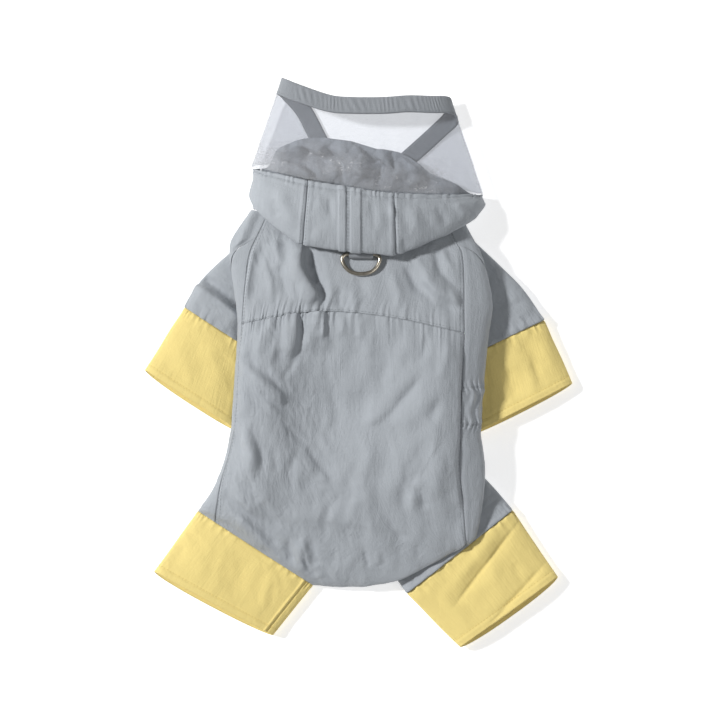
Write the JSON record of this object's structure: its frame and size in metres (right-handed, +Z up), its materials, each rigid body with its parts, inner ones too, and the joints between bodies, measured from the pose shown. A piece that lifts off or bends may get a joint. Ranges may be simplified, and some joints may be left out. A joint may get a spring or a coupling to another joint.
{
  "type": "hooded dog raincoat",
  "caption": "Hooded raincoat for a small dog, with clear visor, leash ring, raglan sleeves and wide cuffs, laid on its belly with its legs spread.",
  "frame": {"origin": "middle of the footprint on the surface that the coat lies on", "axes": "+X towards the coat's right side, +Y towards the hood and visor, +Z up from the belly to the back"},
  "size_m": [0.3216, 0.4282, 0.0496],
  "materials": {
    "grey_cloth": "fine crinkled plain-woven nylon, soft matt sheen",
    "trim_cloth": "same nylon, darker, pleated binding and webbing",
    "yellow_cloth": "smooth woven, matt, pale lemon yellow",
    "clear_film": "thin soft plastic film, glossy and slightly wavy",
    "ring_metal": "polished pale bronze, lightly worn"
  },
  "bodies": {
    "coat": {"back_yoke": "grey_cloth", "back_panel": "grey_cloth", "side_left": "grey_cloth", "side_right": "grey_cloth", "belly_panel": "grey_cloth", "sleeve_left": "grey_cloth", "sleeve_right": "grey_cloth", "leg_hind_left": "grey_cloth", "leg_hind_right": "grey_cloth", "cuff_front_left": "yellow_cloth", "cuff_front_right": "yellow_cloth", "cuff_hind_left": "yellow_cloth", "cuff_hind_right": "yellow_cloth", "hood_left": "grey_cloth", "hood_centre": "grey_cloth", "hood_right": "grey_cloth", "hood_throat": "grey_cloth", "visor": "clear_film", "visor_trim": "trim_cloth", "ring_loop": "trim_cloth"},
    "ring": {"d_ring": "ring_metal"}
  },
  "joints": [
    {"name": "ring_swing", "type": "hinge", "parent": "coat", "child": "ring", "pos_m": [0.00175, 0.0805, 0.03476], "axis": [-1, 0, 0], "range_deg": [0, 60]}
  ]
}
